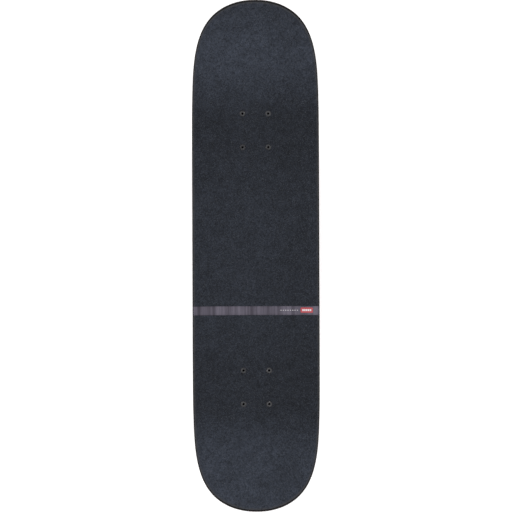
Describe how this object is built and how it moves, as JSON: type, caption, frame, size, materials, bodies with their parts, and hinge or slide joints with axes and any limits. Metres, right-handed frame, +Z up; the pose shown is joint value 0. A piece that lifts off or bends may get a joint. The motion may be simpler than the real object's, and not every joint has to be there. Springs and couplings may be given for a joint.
{
  "type": "skateboard",
  "caption": "Popsicle-shaped street skateboard with gripped maple deck, sprung steering trucks and small hard wheels on ball bearings.",
  "frame": {"origin": "on the ground, under the middle of the deck's length and width", "axes": "+X towards the nose, +Y to the left, +Z up; the wheels stand on Z = 0"},
  "size_m": [0.8064, 0.2034, 0.1427],
  "materials": {
    "maple": "stained maple plies, satin lacquer",
    "grip_tape": "black silicon carbide grit on a woven backing",
    "cast_aluminium": "as cast, tumbled",
    "zinc_steel": "bright zinc plate",
    "black_steel": "black oxide",
    "bearing_steel": "ground bearing steel",
    "wheel_urethane": "cast off-white urethane",
    "black_urethane": "cast black urethane"
  },
  "bodies": {
    "board": {"deck": "maple", "grip_tape_front": "grip_tape", "grip_tape_rear": "grip_tape", "front_baseplate": "cast_aluminium", "front_pivot_cup": "black_urethane", "front_kingpin": "black_steel", "front_kingpin_nut": "zinc_steel", "front_bushing_upper": "black_urethane", "front_bushing_lower": "black_urethane", "front_washer_upper": "zinc_steel", "front_washer_lower": "zinc_steel", "front_bolt_outer_left": "black_steel", "front_nut_outer_left": "zinc_steel", "front_bolt_outer_right": "black_steel", "front_nut_outer_right": "zinc_steel", "front_bolt_inner_left": "black_steel", "front_nut_inner_left": "zinc_steel", "front_bolt_inner_right": "black_steel", "front_nut_inner_right": "zinc_steel", "rear_baseplate": "cast_aluminium", "rear_pivot_cup": "black_urethane", "rear_kingpin": "black_steel", "rear_kingpin_nut": "zinc_steel", "rear_bushing_upper": "black_urethane", "rear_bushing_lower": "black_urethane", "rear_washer_upper": "zinc_steel", "rear_washer_lower": "zinc_steel", "rear_bolt_outer_left": "black_steel", "rear_nut_outer_left": "zinc_steel", "rear_bolt_outer_right": "black_steel", "rear_nut_outer_right": "zinc_steel", "rear_bolt_inner_left": "black_steel", "rear_nut_inner_left": "zinc_steel", "rear_bolt_inner_right": "black_steel", "rear_nut_inner_right": "zinc_steel"},
    "wheel_front_left": {"front_left_wheel": "wheel_urethane", "front_left_bearing_inboard": "bearing_steel", "front_left_bearing_outboard": "bearing_steel"},
    "wheel_front_right": {"front_right_wheel": "wheel_urethane", "front_right_bearing_inboard": "bearing_steel", "front_right_bearing_outboard": "bearing_steel"},
    "front_truck": {"front_hanger": "cast_aluminium", "front_axle": "zinc_steel", "front_left_axle_stack": "bearing_steel", "front_left_axle_nut": "zinc_steel", "front_right_axle_stack": "bearing_steel", "front_right_axle_nut": "zinc_steel"},
    "wheel_rear_left": {"rear_left_wheel": "wheel_urethane", "rear_left_bearing_inboard": "bearing_steel", "rear_left_bearing_outboard": "bearing_steel"},
    "wheel_rear_right": {"rear_right_wheel": "wheel_urethane", "rear_right_bearing_inboard": "bearing_steel", "rear_right_bearing_outboard": "bearing_steel"},
    "rear_truck": {"rear_hanger": "cast_aluminium", "rear_axle": "zinc_steel", "rear_left_axle_stack": "bearing_steel", "rear_left_axle_nut": "zinc_steel", "rear_right_axle_stack": "bearing_steel", "rear_right_axle_nut": "zinc_steel"}
  },
  "joints": [
    {"name": "front_steering", "type": "hinge", "parent": "board", "child": "front_truck", "pos_m": [0.17883, 0, 0.04504], "axis": [0.886, 0, 0.4636], "range_deg": [-15, 15], "stiffness_Nm_per_rad": 60, "deforming": ["front_bushing_upper", "front_bushing_lower"]},
    {"name": "front_left_spin", "type": "hinge", "parent": "front_truck", "child": "wheel_front_left", "pos_m": [0.2018, 0.0815, 0.026], "axis": [0, 1, 0], "continuous": true},
    {"name": "front_right_spin", "type": "hinge", "parent": "front_truck", "child": "wheel_front_right", "pos_m": [0.2018, -0.0815, 0.026], "axis": [0, 1, 0], "continuous": true},
    {"name": "rear_steering", "type": "hinge", "parent": "board", "child": "rear_truck", "pos_m": [-0.18763, 0, 0.04504], "axis": [0.886, 0, -0.4636], "range_deg": [-15, 15], "stiffness_Nm_per_rad": 60, "deforming": ["rear_bushing_upper", "rear_bushing_lower"]},
    {"name": "rear_left_spin", "type": "hinge", "parent": "rear_truck", "child": "wheel_rear_left", "pos_m": [-0.2106, 0.0815, 0.026], "axis": [0, 1, 0], "continuous": true},
    {"name": "rear_right_spin", "type": "hinge", "parent": "rear_truck", "child": "wheel_rear_right", "pos_m": [-0.2106, -0.0815, 0.026], "axis": [0, 1, 0], "continuous": true}
  ]
}
